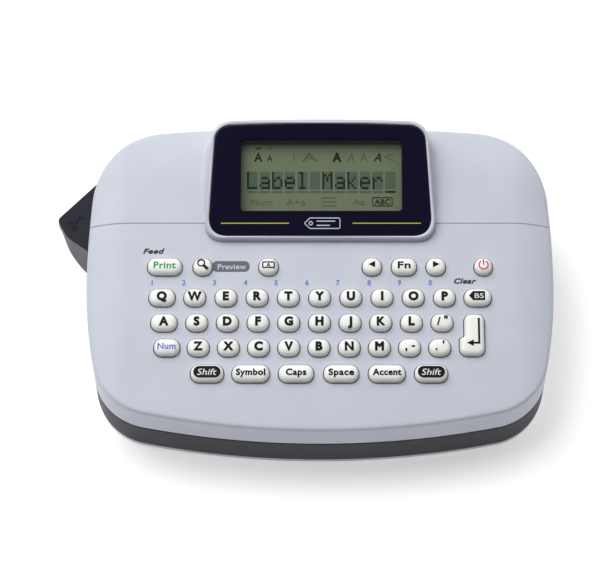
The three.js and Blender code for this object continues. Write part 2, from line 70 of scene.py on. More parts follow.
FASCIA_TILT = radians(10)
FASCIA_HEIGHT = 34.5
FASCIA_RISE = tan(FASCIA_TILT)
SEAM_Y = 19.0
HUMP_TILT = radians(18.3)
HUMP_RISE = tan(HUMP_TILT)
HUMP_HEIGHT = 34.2
RIM_PROUD = 0.5
LENS_THICKNESS = 1.6
LEDGE_THICKNESS = 2.0
WINDOW = (-27.4, 28.3, 22.1, 46.0)  # left, right, front, rear
WINDOW_CORNER = 1.2
MASK_WALL = 0.8
LCD_TOP = HUMP_HEIGHT - LENS_THICKNESS - LEDGE_THICKNESS - 2 * GAP
LCD_OVERLAP = 2.2
LCD_THICKNESS = 2.5
KEY_DEPTH = 6.0
KEY_FLANGE = 0.7
KEY_CORNER = 2.75
LEVER_SLOT = ((-95.0, -64.5), (11.4, 45.5), (9.5, 32.0))
BATTERY_BAY = ((11.0, 59.0), (-5.0, 40.0), 16.5)
TAPE_BAY = ((-56.0, 6.5), (-7.0, 43.5), 17.0)
BAY_WALL = 1.5


# ---- shapes: lists of vertices and faces ----

def loft(rings):
    """A closed surface through rings of equal length, each from below upwards, capped at both ends."""
    count = len(rings[0])
    verts = [point for ring in rings for point in ring]
    faces = []
    for level in range(len(rings) - 1):
        low, high = level * count, (level + 1) * count
        for i in range(count):
            j = (i + 1) % count
            faces.append((low + i, low + j, high + j, high + i))
    faces.append(tuple(reversed(range(count))))
    faces.append(tuple((len(rings) - 1) * count + i for i in range(count)))
    return verts, faces


def moved(shape, place):
    """The shape with every vertex put through a function or a matrix."""
    verts, faces = shape
    if isinstance(place, Matrix):
        return [tuple(place @ Vector(v)) for v in verts], faces
    return [place(*v) for v in verts], faces


def joined(shapes):
    verts, faces = [], []
    for more, polygons in shapes:
        first = len(verts)
        verts += more
        faces += [tuple(first + i for i in polygon) for polygon in polygons]
    return verts, faces


def stacked(levels):
    """A closed surface through flat outlines, each given with its height."""
    return loft([[(x, y, z) for x, y in outline] for outline, z in levels])


def raised(outline, low, high):
    """A prism on a flat outline."""
    return stacked([(outline, low), (outline, high)])


def flipped(shape):
    return shape[0], [tuple(reversed(face)) for face in shape[1]]


def rectangle_corners(x, y):
    return [(x[0], y[0]), (x[1], y[0]), (x[1], y[1]), (x[0], y[1])]


def block(x, y, z):
    return raised(rectangle_corners(x, y), *z)


def disc(x, y, radius, low, high, sides=32):
    return raised(circle(x, y, radius, sides), low, high)


def circle(x, y, radius, sides=32):
    turn = 2 * pi / sides
    return [(x + radius * cos(i * turn), y + radius * sin(i * turn)) for i in range(sides)]


def rounded(corners, steps=6):
    """An outline, counter-clockwise, from corners (x, y, radius), each rounded by its own radius."""
    outline = []
    for i, (x, y, radius) in enumerate(corners):
        here = Vector((x, y))
        back = (Vector(corners[i - 1][:2]) - here).normalized()
        ahead = (Vector(corners[(i + 1) % len(corners)][:2]) - here).normalized()
        half = back.angle(ahead) / 2
        centre = here + (back + ahead).normalized() * radius / sin(half)
        start = here + back * radius / tan(half) - centre
        end = here + ahead * radius / tan(half) - centre
        turn = start.angle_signed(end)
        for step in range(steps + 1):
            angle = -turn * step / steps
            spoke = Matrix.Rotation(angle, 2) @ start
            outline.append((centre.x + spoke.x, centre.y + spoke.y))
    return outline


def rectangle(x, y, radius, steps=6):
    return rounded([(*corner, radius) for corner in rectangle_corners(x, y)], steps)


def inset(outline, distance):
    """The outline moved inwards along its own normals."""
    result = []
    for i, (x, y) in enumerate(outline):
        ahead = Vector(outline[(i + 1) % len(outline)])
        tangent = (ahead - Vector(outline[i - 1])).normalized()
        result.append((x - tangent.y * distance, y + tangent.x * distance))
    return result


def between(start, end, share):
    return tuple(Vector(start).lerp(Vector(end), share))


def divided(outline, longest):
    """The outline with its edges split into steps no longer than this."""
    points = []
    for i, start in enumerate(outline):
        end = outline[(i + 1) % len(outline)]
        count = max(1, ceil(dist(start, end) / longest))
        points += [between(start, end, k / count) for k in range(count)]
    return points


def shrunk(outline, share, centre=(0.0, 0.0)):
    return [(centre[0] + (x - centre[0]) * share, centre[1] + (y - centre[1]) * share) for x, y in outline]


def smooth_step(value):
    value = min(1.0, max(0.0, value))
    return value * value * (3 - 2 * value)


# ---- the body's outline and its top surface ----

def body_outline(distance=0.0):
    """The plan of the body, moved inwards by a distance: ten tangent arcs, counter-clockwise."""
    rear_x, rear_y = REAR_CORNER_AT
    front_x, front_y = FRONT_CORNER_AT
    rear_side = atan2(rear_y, rear_x - (HALF_WIDTH - REAR_SIDE))
    rear_bow = atan2(rear_y - (REAR_REACH - REAR_BOW), rear_x)
    front_side = atan2(-front_y, front_x - (HALF_WIDTH - FRONT_SIDE))
    front_bow = atan2((FRONT_BOW - FRONT_REACH) - front_y, front_x)
    rear = [(HALF_WIDTH - REAR_SIDE, 0, REAR_SIDE, 0, rear_side, 14),
            (rear_x, rear_y, REAR_CORNER, rear_side, rear_bow, 22)]
    front = [(front_x, front_y, FRONT_CORNER, -front_bow, -front_side, 22),
             (HALF_WIDTH - FRONT_SIDE, 0, FRONT_SIDE, -front_side, 0, 14)]

    def mirrored(arcs):
        return [(-x, y, radius, pi - end, pi - start, count)
                for x, y, radius, start, end, count in reversed(arcs)]

    rear.append((0, REAR_REACH - REAR_BOW, REAR_BOW, rear_bow, pi - rear_bow, 36))
    front.insert(0, (0, FRONT_BOW - FRONT_REACH, FRONT_BOW, pi + front_bow, 2 * pi - front_bow, 36))
    arcs = rear + mirrored(rear[:2]) + mirrored(front[1:]) + front
    outline = []
    for x, y, radius, start, end, count in arcs:
        for i in range(count):
            angle = start + (end - start) * i / count
            reach = radius - distance
            outline.append((x + reach * cos(angle), y + reach * sin(angle)))
    return outline


ROLL_REACH = 24.0  # both roll-offs drop by their full amount over this much
SIDE_ROLL_START, SIDE_ROLL_DROP = 66.0, 10.4
REAR_ROLL_START, REAR_ROLL_DROP = 36.0, 3.0
EDGE_ROUND = 1.3
INNER_ROUND = 0.4
TOP_SHARES = (0.985, 0.965, 0.94, 0.91, 0.88, 0.85, 0.82, 0.78, 0.7, 0.5, 0.25, 0.06)  # rings over the roof


def shell_top(x, y):
    """The height of the top shell: a tilted plane that rolls off at both sides and at the rear."""
    side = max(0.0, abs(x) - SIDE_ROLL_START) / ROLL_REACH
    rear = max(0.0, y - REAR_ROLL_START) / ROLL_REACH
    return FASCIA_HEIGHT + FASCIA_RISE * y - SIDE_ROLL_DROP * side**2 - REAR_ROLL_DROP * rear**2


def under_top(distance, low, edge):
    """Everything under the top shell's surface, or under the surface that lies this much further in."""
    outline = body_outline(distance)
    rings = [[(x, y, low) for x, y in body_outline(distance + edge)]]
    if edge:
        rings.append([(x, y, low + edge) for x, y in outline])
    radius = EDGE_ROUND if edge else INNER_ROUND
    for step in range(6):
        share = step / 5
        last = body_outline(distance + radius * share**2)
        rings.append([(x, y, shell_top(x, y) - distance - radius * (1 - share) ** 2) for x, y in last])
    for share in TOP_SHARES:
        rings.append([(x, y, shell_top(x, y) - distance) for x, y in shrunk(last, share)])
    return loft(rings)


# ---- the display hump ----

HUMP_PLAN = (12.5, 54.4, 39.6, 37.6, 6.5, 7.0)  # front, rear, half widths there, corner sizes there
RIM_PLAN = (12.5, 52.9, 39.6, 37.6, 6.5, 7.0)  # at the top: the rear wall leans forwards
LENS_PLAN = (13.6, 51.1, 38.2, 36.5, 6.5, 6.0)
ARCH_DEPTH, ARCH_HALF, ARCH_START, ARCH_REACH = 0.8, 36.0, 40.0, 10.0
FILLET_LEAST, FILLET_MOST = 0.08, 3.6
FILLET_RISE, FILLET_FALL = (18, 9), (45, 7)  # where each starts, and how long it takes
RIM_ROUND, RIM_ROUND_MORE = 0.8, 0.9
POCKET_EDGE = 0.22
HUMP_WALL = 3.2
HUMP_LAP = 0.1  # the rear shell still reaches this far round the hump's foot
HUMP_ROOT, HUMP_SKIRT, HUMP_SINK = 1.6, 1.2, 0.03  # how deep its lowest rings lie in the shell
EDGE_STEPS, SIDE_STEPS, BEND_STEPS = 24, 18, 12


def tapered(plan, distance=0.0):
    """A four-sided outline, wider in front than at the rear, moved inwards by a distance."""
    front, rear, front_half, rear_half, front_round, rear_round = plan
    front, rear = front + distance, rear - distance
    front_half, rear_half = front_half - distance, rear_half - distance

    def half(side):
        """The front and the rear corner of the right half (1) or the left half (-1), going rearwards."""
        near, far = side * front_half, side * rear_half
        foot = [(near - side * front_round, front), (near, front), (near, front + front_round)]
        head = [(far, rear - rear_round), (far, rear), (far - side * rear_round, rear)]
        return foot, head

    (foot, head), (left_foot, left_head) = half(1), half(-1)
    corners = (foot, head, left_head[::-1], left_foot[::-1])
    outline = []
    for i, (start, corner, end) in enumerate(corners):
        count = SIDE_STEPS if i % 2 else EDGE_STEPS
        outline += [between(corners[i - 1][2], start, k / count) for k in range(count)]
        for k in range(BEND_STEPS):
            share = k / BEND_STEPS
            outline.append(between(between(start, corner, share), between(corner, end, share), share))
    return outline


def arched(outline):
    """Bows the rear edge a little, highest in the middle."""
    bowed = []
    for x, y in outline:
        bowed.append((x, y - ARCH_DEPTH * (x / ARCH_HALF) ** 2 * smooth_step((y - ARCH_START) / ARCH_REACH)))
    return bowed


def hump_outline(distance=0.0):
    return tapered(HUMP_PLAN, distance)


def rim_outline():
    return arched(tapered(RIM_PLAN))


def lens_outline(distance=0.0):
    return arched(tapered(LENS_PLAN, distance))


def hump_top(y):
    return HUMP_HEIGHT + RIM_PROUD + HUMP_RISE * y


def fillet_at(y):
    """How far the hump's foot spreads over the shell: widest beside the display, nothing at the tongue."""
    room = hump_top(y) - shell_top(0, y) - 1.0
    rise = smooth_step((y - FILLET_RISE[0]) / FILLET_RISE[1])
    fall = 1 - smooth_step((y - FILLET_FALL[0]) / FILLET_FALL[1])
    return max(FILLET_LEAST, min(FILLET_MOST, 0.8 * room) * rise * fall)


def edge_round_at(y):
    return RIM_ROUND + RIM_ROUND_MORE * smooth_step((y - 46) / 6)


def hump_solid():
    """The hump from inside the shell's roof up to the floor of the lens pocket."""
    outer = hump_outline()
    pocket = lens_outline(-GAP / 2)
    away = [(Vector(a) - Vector(b)).normalized() for a, b in zip(hump_outline(-1), outer)]
    rings = [[(x, y, shell_top(x, y) - HUMP_ROOT) for x, y in hump_outline(4)]]
    spread = [Vector(p) + a * fillet_at(p[1]) for p, a in zip(outer, away)]
    rings.append([(p.x, p.y, shell_top(p.x, p.y) - HUMP_SKIRT) for p in spread])
    for step in range(9):
        angle = step / 8 * pi / 2
        level = []
        for (x, y), direction in zip(outer, away):
            size = fillet_at(y)
            p = Vector((x, y)) + direction * size * (1 - sin(angle))
            level.append((p.x, p.y, shell_top(p.x, p.y) + size * (1 - cos(angle)) - HUMP_SINK))
        rings.append(level)
    for step in range(7):
        share = step / 6
        level = []
        for (x, y), direction in zip(rim_outline(), away):
            size = edge_round_at(y)
            p = Vector((x, y)) - direction * size * share**2
            level.append((p.x, p.y, hump_top(p.y) - size * (1 - share) ** 2))
        rings.append(level)
    rings.append([(x, y, hump_top(y) - POCKET_EDGE) for x, y in pocket])
    floor = HUMP_HEIGHT - LENS_THICKNESS - GAP
    rings.append([(x, y, floor + HUMP_RISE * y) for x, y in pocket])
    return loft(rings)


# ---- solids and booleans ----

def linked(name, data):
    """A new object in the scene."""
    obj = bpy.data.objects.new(name, data)
    bpy.context.scene.collection.objects.link(obj)
    return obj


def object_of(shape, name="scratch"):
    verts, faces = shape
    mesh = bpy.data.meshes.new(name)
    mesh.from_pydata([(x * MM, y * MM, z * MM) for x, y, z in verts], [], faces)
    return linked(name, mesh)


def mesh_from(obj):
    """The mesh an object comes to with its modifiers, or a curve's own outline filled."""
    return bpy.data.meshes.new_from_object(obj.evaluated_get(bpy.context.evaluated_depsgraph_get()))


def combine(obj, shape, operation):
    """Cuts, joins or intersects a scratch object with a closed shape or another scratch object."""
    tool = object_of(shape) if isinstance(shape, tuple) else shape
    modifier = obj.modifiers.new("combine", "BOOLEAN")
    modifier.solver = "MANIFOLD"
    modifier.operation = operation
    modifier.object = tool
    mesh = mesh_from(obj)
    obj.modifiers.clear()
    obj.data = mesh
    if tool is not shape:
        bpy.data.objects.remove(tool)
    if not mesh.polygons:
        raise ValueError("a boolean left nothing")


def cut(obj, shape):
    combine(obj, shape, "DIFFERENCE")


def add(obj, shape):
    combine(obj, shape, "UNION")


def keep(obj, shape):
    combine(obj, shape, "INTERSECT")


# ---- materials ----

def linear(colour):
    """A colour given as 0 to 255, as the shader's own linear values."""
    channels = []
    for value in colour:
        value /= 255
        channels.append(value / 12.92 if value <= 0.04045 else ((value + 0.055) / 1.055) ** 2.4)
    return channels


def set_inputs(node, values):
    for socket, value in values.items():
        node.inputs[socket].default_value = value


DRIFT_SCALE = 55  # how fine the drift of the colour is
PATCH_SCALE = 140  # and that of the gloss


def noise(tree, place, scale, detail=2):
    texture = tree.nodes.new("ShaderNodeTexNoise")
    set_inputs(texture, {"Scale": scale, "Detail": detail})
    tree.links.new(place, texture.inputs["Vector"])
    return texture.outputs["Fac"]


def material(name, colour, roughness, grain=0.0, grain_size=0.5, metallic=0.0, spread=0.03,
             specular=0.5, swing=0.06, alpha=1.0):
    """A moulded, printed or metal finish: drifting colour, uneven gloss and a fine grain.
    grain is the depth of the texture in millimetres and grain_size its pitch."""
    made = bpy.data.materials.new(name)
    made.use_nodes = True
    tree = made.node_tree
    nodes, links = tree.nodes, tree.links
    shader = nodes["Principled BSDF"]
    set_inputs(shader, {"Metallic": metallic, "Specular IOR Level": specular, "Alpha": alpha})
    place = nodes.new("ShaderNodeTexCoord").outputs["Object"]
    ramp = nodes.new("ShaderNodeValToRGB")
    for stop, position, change in zip(ramp.color_ramp.elements, (0.3, 0.7), (1 - spread, 1 + spread)):
        stop.position = position
        stop.color = [*(min(1, channel * change) for channel in linear(colour)), 1]
    links.new(noise(tree, place, DRIFT_SCALE, 3), ramp.inputs["Fac"])
    links.new(ramp.outputs["Color"], shader.inputs["Base Color"])
    gloss = nodes.new("ShaderNodeMapRange")
    set_inputs(gloss, {"To Min": max(0.02, roughness - swing), "To Max": min(1.0, roughness + swing)})
    links.new(noise(tree, place, PATCH_SCALE), gloss.inputs["Value"])
    links.new(gloss.outputs["Result"], shader.inputs["Roughness"])
    if grain:
        bump = nodes.new("ShaderNodeBump")
        set_inputs(bump, {"Strength": 1.0, "Distance": grain * MM})
        links.new(noise(tree, place, 1000 / grain_size), bump.inputs["Height"])
        links.new(bump.outputs["Normal"], shader.inputs["Normal"])
    return made


def ink(name, colour, roughness=0.45, **style):
    """A print or a display colour: a flat finish that mirrors little."""
    return material(name, colour, roughness, **{"specular": 0.12, **style})


SHELL = material("shell_plastic", (192, 196, 207), 0.45, grain=0.012, grain_size=0.45, specular=0.4)
DARK = material("dark_case_plastic", (52, 51, 58), 0.5, grain=0.02, specular=0.3)
COVER = material("cover_plastic", (196, 198, 205), 0.48, grain=0.02)
LENS = material("lens_navy", (17, 13, 37), 0.14, specular=0.2, spread=0.02, swing=0.02)
PANE = material("window_clear", (70, 78, 70), 0.08, alpha=0.06, swing=0.02)
GLASS = ink("lcd_green", (118, 129, 102), 0.4, grain=0.003, grain_size=0.3)
SEGMENT = ink("lcd_dark", (26, 30, 24), 0.5, spread=0.08, specular=0.1)
FAINT = ink("lcd_faint", (92, 102, 80), 0.5)
CELL = ink("lcd_cell", (86, 104, 88))
KEYCAP = material("key_plastic", (236, 236, 231), 0.36, grain=0.006, spread=0.015)
BLACK_INK = ink("ink_black", (16, 16, 19), spread=0.1)
WHITE_INK = ink("ink_white", (225, 226, 228))
GREEN_INK = ink("ink_green", (38, 158, 92))
BLUE_INK = ink("ink_blue", (92, 112, 205))
RED_INK = ink("ink_red", (196, 52, 92))
SKY_INK = ink("ink_sky", (98, 134, 196), 0.5)
GREY_INK = ink("ink_grey", (56, 58, 66), 0.5)
PILL_INK = ink("ink_pill", (100, 105, 112))
LIME_INK = ink("ink_lime", (172, 182, 72), 0.4)
PALE_INK = ink("ink_pale", (190, 192, 202), 0.4)
LEVER = material("lever_plastic", (86, 85, 92), 0.5, grain=0.01, specular=0.3)
LEVER_TOP_SKIN = material("lever_top", (19, 18, 33), 0.5, grain=0.008, specular=0.15)
SILICONE = material("silicone_grey", (139, 143, 148), 0.75, grain=0.01)
BOARD = material("board_green", (38, 96, 58), 0.4, grain=0.03, grain_size=1.6, spread=0.12)
CASSETTE = material("cassette_plastic", (214, 213, 206), 0.5, grain=0.015)
RUBBER = material("roller_rubber", (34, 34, 36), 0.85, grain=0.02, grain_size=0.3)
CERAMIC = material("head_ceramic", (186, 180, 168), 0.35, grain=0.01, spread=0.05)
STEEL = material("steel", (186, 189, 194), 0.3, grain=0.004, grain_size=0.2, metallic=0.95)
BRASS = material("brass", (186, 155, 84), 0.32, grain=0.004, grain_size=0.2, metallic=0.95)

SHARP_OVER = radians(32)
SHADING_WEIGHT = 80


def dress(obj, name, body, materials, replaced=()):
    """Names a finished mesh, shades it, and hands it to its CAD body."""
    obj.name = obj.data.name = name
    obj.data.materials.clear()
    for one in materials:
        obj.data.materials.append(one)
    obj.data.shade_smooth()
    obj.data.set_sharp_from_angle(angle=SHARP_OVER)
    modifier = obj.modifiers.new("even_shading", "WEIGHTED_NORMAL")
    modifier.keep_sharp = True
    modifier.weight = SHADING_WEIGHT
    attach(obj, body)
    if replaced:
        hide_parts(*replaced)


def piece(name, body, parts, replaced=(), place=None):
    """A piece from parts, each a shape and its material, all put in place by one function or matrix."""
    if place:
        parts = [(moved(shape, place), finish) for shape, finish in parts]
    materials = list(dict.fromkeys(finish for _, finish in parts))
    indices = []
    for (_, faces), finish in parts:
        indices += [materials.index(finish)] * len(faces)
    obj = object_of(joined([shape for shape, _ in parts]))
    dress(obj, name, body, materials, replaced)
    obj.data.polygons.foreach_set("material_index", indices)


# ---- lettering ----

LETTER_DEPTH = 0.1
CAP_HEIGHT = 0.729  # of the built-in font, as a share of its size
LINE = 0.03  # how proud plain lettering stands


def outward_moves(flat, faces):
    """For each vertex on the rim of a flat mesh, the direction that thickens its stroke."""
    edges = dict.fromkeys((face[i - 1], a) for face in faces for i, a in enumerate(face))
    rim = [(a, b) for a, b in edges if (b, a) not in edges]
    moves = {}
    for a, b in rim:
        along = (Vector(flat[b]) - Vector(flat[a])).normalized()
        for vertex in (a, b):
            moves.setdefault(vertex, []).append(Vector((along.y, -along.x)))
    for vertex, normals in moves.items():
        total = sum(normals, Vector((0, 0)))
        length = total.length
        moves[vertex] = total / length * min(1.5, 2 / length) if length > 0.2 else Vector((0, 0))
    return rim, moves


def lettering(text, height, width=None, bold=0.0, slant=0.0, thick=LINE, at=(0.0, 0.0)):
    """A word as thin raised letters, capitals of this height, centred between baseline and cap line.
    bold is how far each stroke is thickened on both sides, in millimetres."""
    curve = bpy.data.curves.new("lettering", "FONT")
    curve.body = text
    curve.shear = slant
    curve.resolution_u = 3
    curve.space_character = 1 + 0.6 * bold
    obj = linked("lettering", curve)
    bpy.context.view_layer.update()
    mesh = mesh_from(obj)
    spots, welded = {}, []
    for vertex in mesh.vertices:
        key = (round(vertex.co.x, 4), round(vertex.co.y, 4))
        welded.append(spots.setdefault(key, len(spots)))
    flat = list(spots)
    faces = []
    for polygon in mesh.polygons:
        face = list(dict.fromkeys(welded[i] for i in polygon.vertices))
        if len(face) > 2:
            faces.append(tuple(face))
    if mesh.polygons[0].normal.z < 0:
        faces = [face[::-1] for face in faces]
    bpy.data.objects.remove(obj)
    bpy.data.meshes.remove(mesh)
    left, right = min(x for x, _ in flat), max(x for x, _ in flat)
    scale = height / CAP_HEIGHT
    stretch = (width - 2 * bold) / (right - left) if width else scale
    scaled = [((x - (left + right) / 2) * stretch, (y - CAP_HEIGHT / 2) * scale) for x, y in flat]
    rim, moves = outward_moves(scaled, faces)
    spread = []
    for i, (x, y) in enumerate(scaled):
        move = moves.get(i, Vector((0, 0))) * bold
        spread.append((at[0] + x + move.x, at[1] + y + move.y))
    count = len(spread)
    verts = [(x, y, thick) for x, y in spread] + [(x, y, thick - LETTER_DEPTH) for x, y in spread]
    walls = [(b, a, count + a, count + b) for a, b in rim]
    under = [tuple(count + i for i in reversed(face)) for face in faces]
    return verts, faces + walls + under


def line_shape(start, end, width, low, high):
    """A straight bar between two points."""
    a, b = Vector(start), Vector(end)
    side = (b - a).normalized().orthogonal() * width / 2
    return raised([tuple(a - side), tuple(b - side), tuple(b + side), tuple(a + side)][::-1], low, high)


def frame_shape(outer, inner, low, high, closed=True):
    """The band between two outlines of equal length, or with capped ends between two open lines."""
    count = len(outer)
    levels = ((inner, low), (outer, low), (outer, high), (inner, high))
    verts = [(x, y, z) for outline, z in levels for x, y in outline]
    faces = []
    for k in range(4):
        a, b = k * count, (k + 1) % 4 * count
        for i in range(count if closed else count - 1):
            j = (i + 1) % count
            faces.append((a + i, b + i, b + j, a + j))
    if not closed:
        faces.append((0, count, 2 * count, 3 * count))
        faces.append((count - 1, 4 * count - 1, 3 * count - 1, 2 * count - 1))
    return verts, faces


def ring_shape(x, y, outer, inner, low, high, start=0.0, end=360.0, sides=28):
    """A flat ring, or the part of one between two angles in degrees."""
    turns = [radians(start + (end - start) * i / sides) for i in range(sides + 1)]
    lines = [[(x + reach * cos(t), y + reach * sin(t)) for t in turns] for reach in (outer, inner)]
    return frame_shape(*lines, low, high, closed=False)


# ---- the top shells ----

def fascia_matrix(x, y):
    """Places a shape made on the fascia, with z along its normal, at a point of the plan."""
    return Matrix.Translation((x, y, FASCIA_HEIGHT + FASCIA_RISE * y)) @ Matrix.Rotation(FASCIA_TILT, 4, "X")


GROOVE = ((0.3, 0.14), (0.0, -0.26), (-0.3, 0.14))  # its section: across the seam, and out of the surface
GROOVE_STEPS = (77, 75, 73, 71, 69, 67, 65, 55, 41, 30)  # where it is bent, from the side to the hump
SEAM_GAP = 0.06


def seam_groove():
    """A V-shaped groove that follows the shell's surface round the seam, from wall to wall."""
    half = HALF_WIDTH - REAR_SIDE + sqrt(REAR_SIDE**2 - SEAM_Y**2)
    path = [(half, z, (1, 0)) for z in (PARTING - 1, 20, 28)]
    for step in range(6):
        share = step / 5
        x = half - EDGE_ROUND * share**2
        z = shell_top(x, SEAM_Y) - EDGE_ROUND * (1 - share) ** 2
        turn = share * pi / 2 * 0.8
        path.append((x, z, (cos(turn), sin(turn))))
    for x in GROOVE_STEPS:
        slope = 2 * SIDE_ROLL_DROP * max(0, x - SIDE_ROLL_START) / ROLL_REACH**2
        normal = Vector((slope, 1)).normalized()
        path.append((x, shell_top(x, SEAM_Y), tuple(normal)))
    sides = []
    for mirror in (1, -1):
        rings = []
        for x, z, (nx, nz) in path:
            rings.append([(mirror * (x + nx * d), SEAM_Y + mirror * w, z + nz * d) for w, d in GROOVE])
        sides.append(loft(rings))
    return sides


def key_outline(width, grow=0.0, steps=7):
    half, reach = width / 2 + grow, KEY_DEPTH / 2 + grow
    return rectangle((-half, half), (-reach, reach), KEY_CORNER + grow, steps)


ENTER_SIZE = (-3.0, 3.8, 7.3)  # left, right, and half the depth
ENTER_STEP = (1.6, -0.7)  # how far the lower half widens to the left, and from where
ENTER_CORNER = 2.4


def enter_outline(grow=0.0):
    """The enter key: two rows deep, and wider to the left in its lower half."""
    left, right, reach = ENTER_SIZE[0] - grow, ENTER_SIZE[1] + grow, ENTER_SIZE[2] + grow
    wide, step = left - ENTER_STEP[0], ENTER_STEP[1] + grow
    corner = ENTER_CORNER + grow
    corners = [
        (wide, -reach, corner),
        (right, -reach, corner),
        (right, reach, corner),
        (left, reach, corner),
        (left, step, 0.7),
        (wide, step - 0.5, 0.9),
    ]
    return rounded(corners, 7)


KEYS = {}
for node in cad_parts:
    if node.startswith("key_"):
        low, high = corners_mm(node)
        KEYS[node[4:]] = ((low.x + high.x) / 2, high.x - low.x - 2 * KEY_FLANGE)

ROWS = {
    3.3: ("print", "preview", "frame", "left", "fn", "right", "power"),
    -7.6: ("q", "w", "e", "r", "t", "y", "u", "i", "o", "p", "backspace"),
    -16.4: ("a", "s", "d", "f", "g", "h", "j", "k", "l", "slash"),
    -25.1: ("num", "z", "x", "c", "v", "b", "n", "m", "comma", "period"),
    -34.1: ("shift_left", "symbol", "caps", "space", "accent", "shift_right"),
}
ROW_OF = {name: y for y, names in ROWS.items() for name in names}
ENTER_AT = (52.1, -20.75)


def place_of(name):
    return ENTER_AT if name == "enter" else (KEYS[name][0], ROW_OF[name])


def outline_for(name, grow=0.0):
    return enter_outline(grow) if name == "enter" else key_outline(KEYS[name][1], grow)


HOLE_PROFILE = ((0.27, -4.0), (0.27, -0.25), (0.4, 0.0), (0.8, 0.4))  # clearance, height over the fascia


def key_holes():
    """One cutter for each key: its clearance, flared at the top into a small chamfer."""
    holes = []
    for name in KEYS:
        hole = stacked((outline_for(name, grow), level) for grow, level in HOLE_PROFILE)
        holes.append(moved(hole, fascia_matrix(*place_of(name))))
    return holes


def window_outline(grow=0.0):
    return inset(rectangle(WINDOW[:2], WINDOW[2:], WINDOW_CORNER), -grow)


def make_top_shells():
    hollow = loft([
        [(x, y, 20) for x, y in hump_outline(HUMP_WALL)],
        [(x, y, LCD_TOP + 2 * GAP + HUMP_RISE * y) for x, y in hump_outline(HUMP_WALL)],
    ])
    slot = block(*LEVER_SLOT)

    rear = object_of(under_top(0, PARTING, GAP))
    for groove in seam_groove():
        cut(rear, groove)
    front = object_of(([tuple(v.co / MM) for v in rear.data.vertices],
                       [tuple(p.vertices) for p in rear.data.polygons]))
    inner = under_top(WALL, PARTING - 5, 0)
    add(rear, hump_solid())
    cut(rear, inner)
    cut(rear, hollow)
    behind = object_of(block((-100, 100), (SEAM_Y + SEAM_GAP / 2, 100), (0, 100)))
    add(behind, raised(hump_outline(-HUMP_LAP), 1, 99))
    keep(rear, behind)
    bpy.data.objects.remove(behind)
    cut(rear, raised(window_outline(MASK_WALL + 0.1), 20, 90))
    cut(rear, slot)
    dress(rear, "rear_shell", "housing", [SHELL], ["rear_case"])

    cut(front, inner)
    keep(front, block((-100, 100), (-100, SEAM_Y - SEAM_GAP / 2), (0, 100)))
    cut(front, raised(hump_outline(-HUMP_LAP - SEAM_GAP), 1, 99))
    cut(front, slot)
    cut(front, joined(key_holes()))
    dress(front, "front_shell", "housing", [SHELL], ["front_case"])


# ---- the lower case and the cover ----

FLARE = 0.9  # how far the front of the dark case spreads on its way down


def flared(distance, reach):
    """The body's plan with its front pushed out by up to this much, fading to nothing round the corners."""
    outline = body_outline(distance)
    return [(x, y - reach * smooth_step((-y - 30) / 20)) for x, y in outline]


BAY_OUTER_CORNER, BAY_CORNER = 2.2, 1.2
TAPE_CHANNEL = ((-59, -55), (30, 43.5))
CASE_BOSSES = ((-64, -28), (64, -28), (66, 24), (7.5, 49))
BOSS_RADIUS, BOSS_HOLE, BOSS_TOP = 3.2, 1.1, 13
CELL_RIB = ((4, 31), 11.2, 0.5)  # depth, lowest point and half its width
BATTERY_PITCH = 11.8


def make_bottom_case():
    floor = CASE_LOW + CASE_FLOOR
    case = object_of(stacked([
        (flared(GAP - 0.05, FLARE), CASE_LOW),
        (flared(0, FLARE), CASE_LOW + GAP - 0.05),
        (body_outline(), CASE_HIGH - GAP),
        (body_outline(GAP), CASE_HIGH),
    ]))
    cut(case, raised(body_outline(WALL), floor, 60))
    for (x, y, top), roof in ((BATTERY_BAY, BAY_WALL), (TAPE_BAY, -1.0)):
        outside = [(x[0] - BAY_WALL, x[1] + BAY_WALL), (y[0] - BAY_WALL, y[1] + BAY_WALL)]
        add(case, raised(rectangle(*outside, BAY_OUTER_CORNER), CASE_LOW + 0.6, top))
        cut(case, raised(rectangle(x, y, BAY_CORNER), -5, top - roof))
    cut(case, block(*TAPE_CHANNEL, (floor, 60)))
    cut(case, block(*LEVER_SLOT))
    for x, y in CASE_BOSSES:
        add(case, disc(x, y, BOSS_RADIUS, CASE_LOW + 1, BOSS_TOP))
        cut(case, disc(x, y, BOSS_HOLE, floor, 60, 16))
    depth, foot, half = CELL_RIB
    for middle in battery_columns()[:-1]:
        x = middle + BATTERY_PITCH / 2
        add(case, block((x - half, x + half), depth, (foot, BATTERY_BAY[2] - 1)))
    dress(case, "lower_case", "housing", [DARK], ["bottom_case"])


def battery_columns():
    middle = sum(BATTERY_BAY[0]) / 2
    return [middle + (i - 1.5) * BATTERY_PITCH for i in range(4)]


CONTACT_HEIGHT = 9.2
PLATE_HALF, PLATE_HEIGHTS = 4.2, (5.2, 13.2)
COIL_TURNS, COIL_STEPS, COIL_SECTION, COIL_WIRE = 4.5, 18, 6, 0.28
COIL_RADIUS, COIL_TAPER, COIL_FOOT, COIL_REACH = 3.4, 1.5, 0.5, 4.2
BUTTON = ((2.0, 0.4), (1.9, 1.0), (1.5, 1.3), (0.8, 1.4))  # radius, distance from the wall


def coil(x, y, direction):
    """A tapering contact spring, its axis along Y, for the flat end of a cell."""
    count = int(COIL_TURNS * COIL_STEPS)
    rings = []
    for i in range(count + 1):
        share = i / count
        angle = share * COIL_TURNS * 2 * pi
        middle = (COIL_RADIUS - COIL_TAPER * share, COIL_FOOT + COIL_REACH * share)
        ring = []
        for reach, out in circle(*middle, COIL_WIRE, COIL_SECTION):
            height = CONTACT_HEIGHT + reach * sin(angle)
            ring.append((x + reach * cos(angle), y + direction * out, height))
        rings.append(ring if direction > 0 else ring[::-1])
    return flipped(loft(rings))


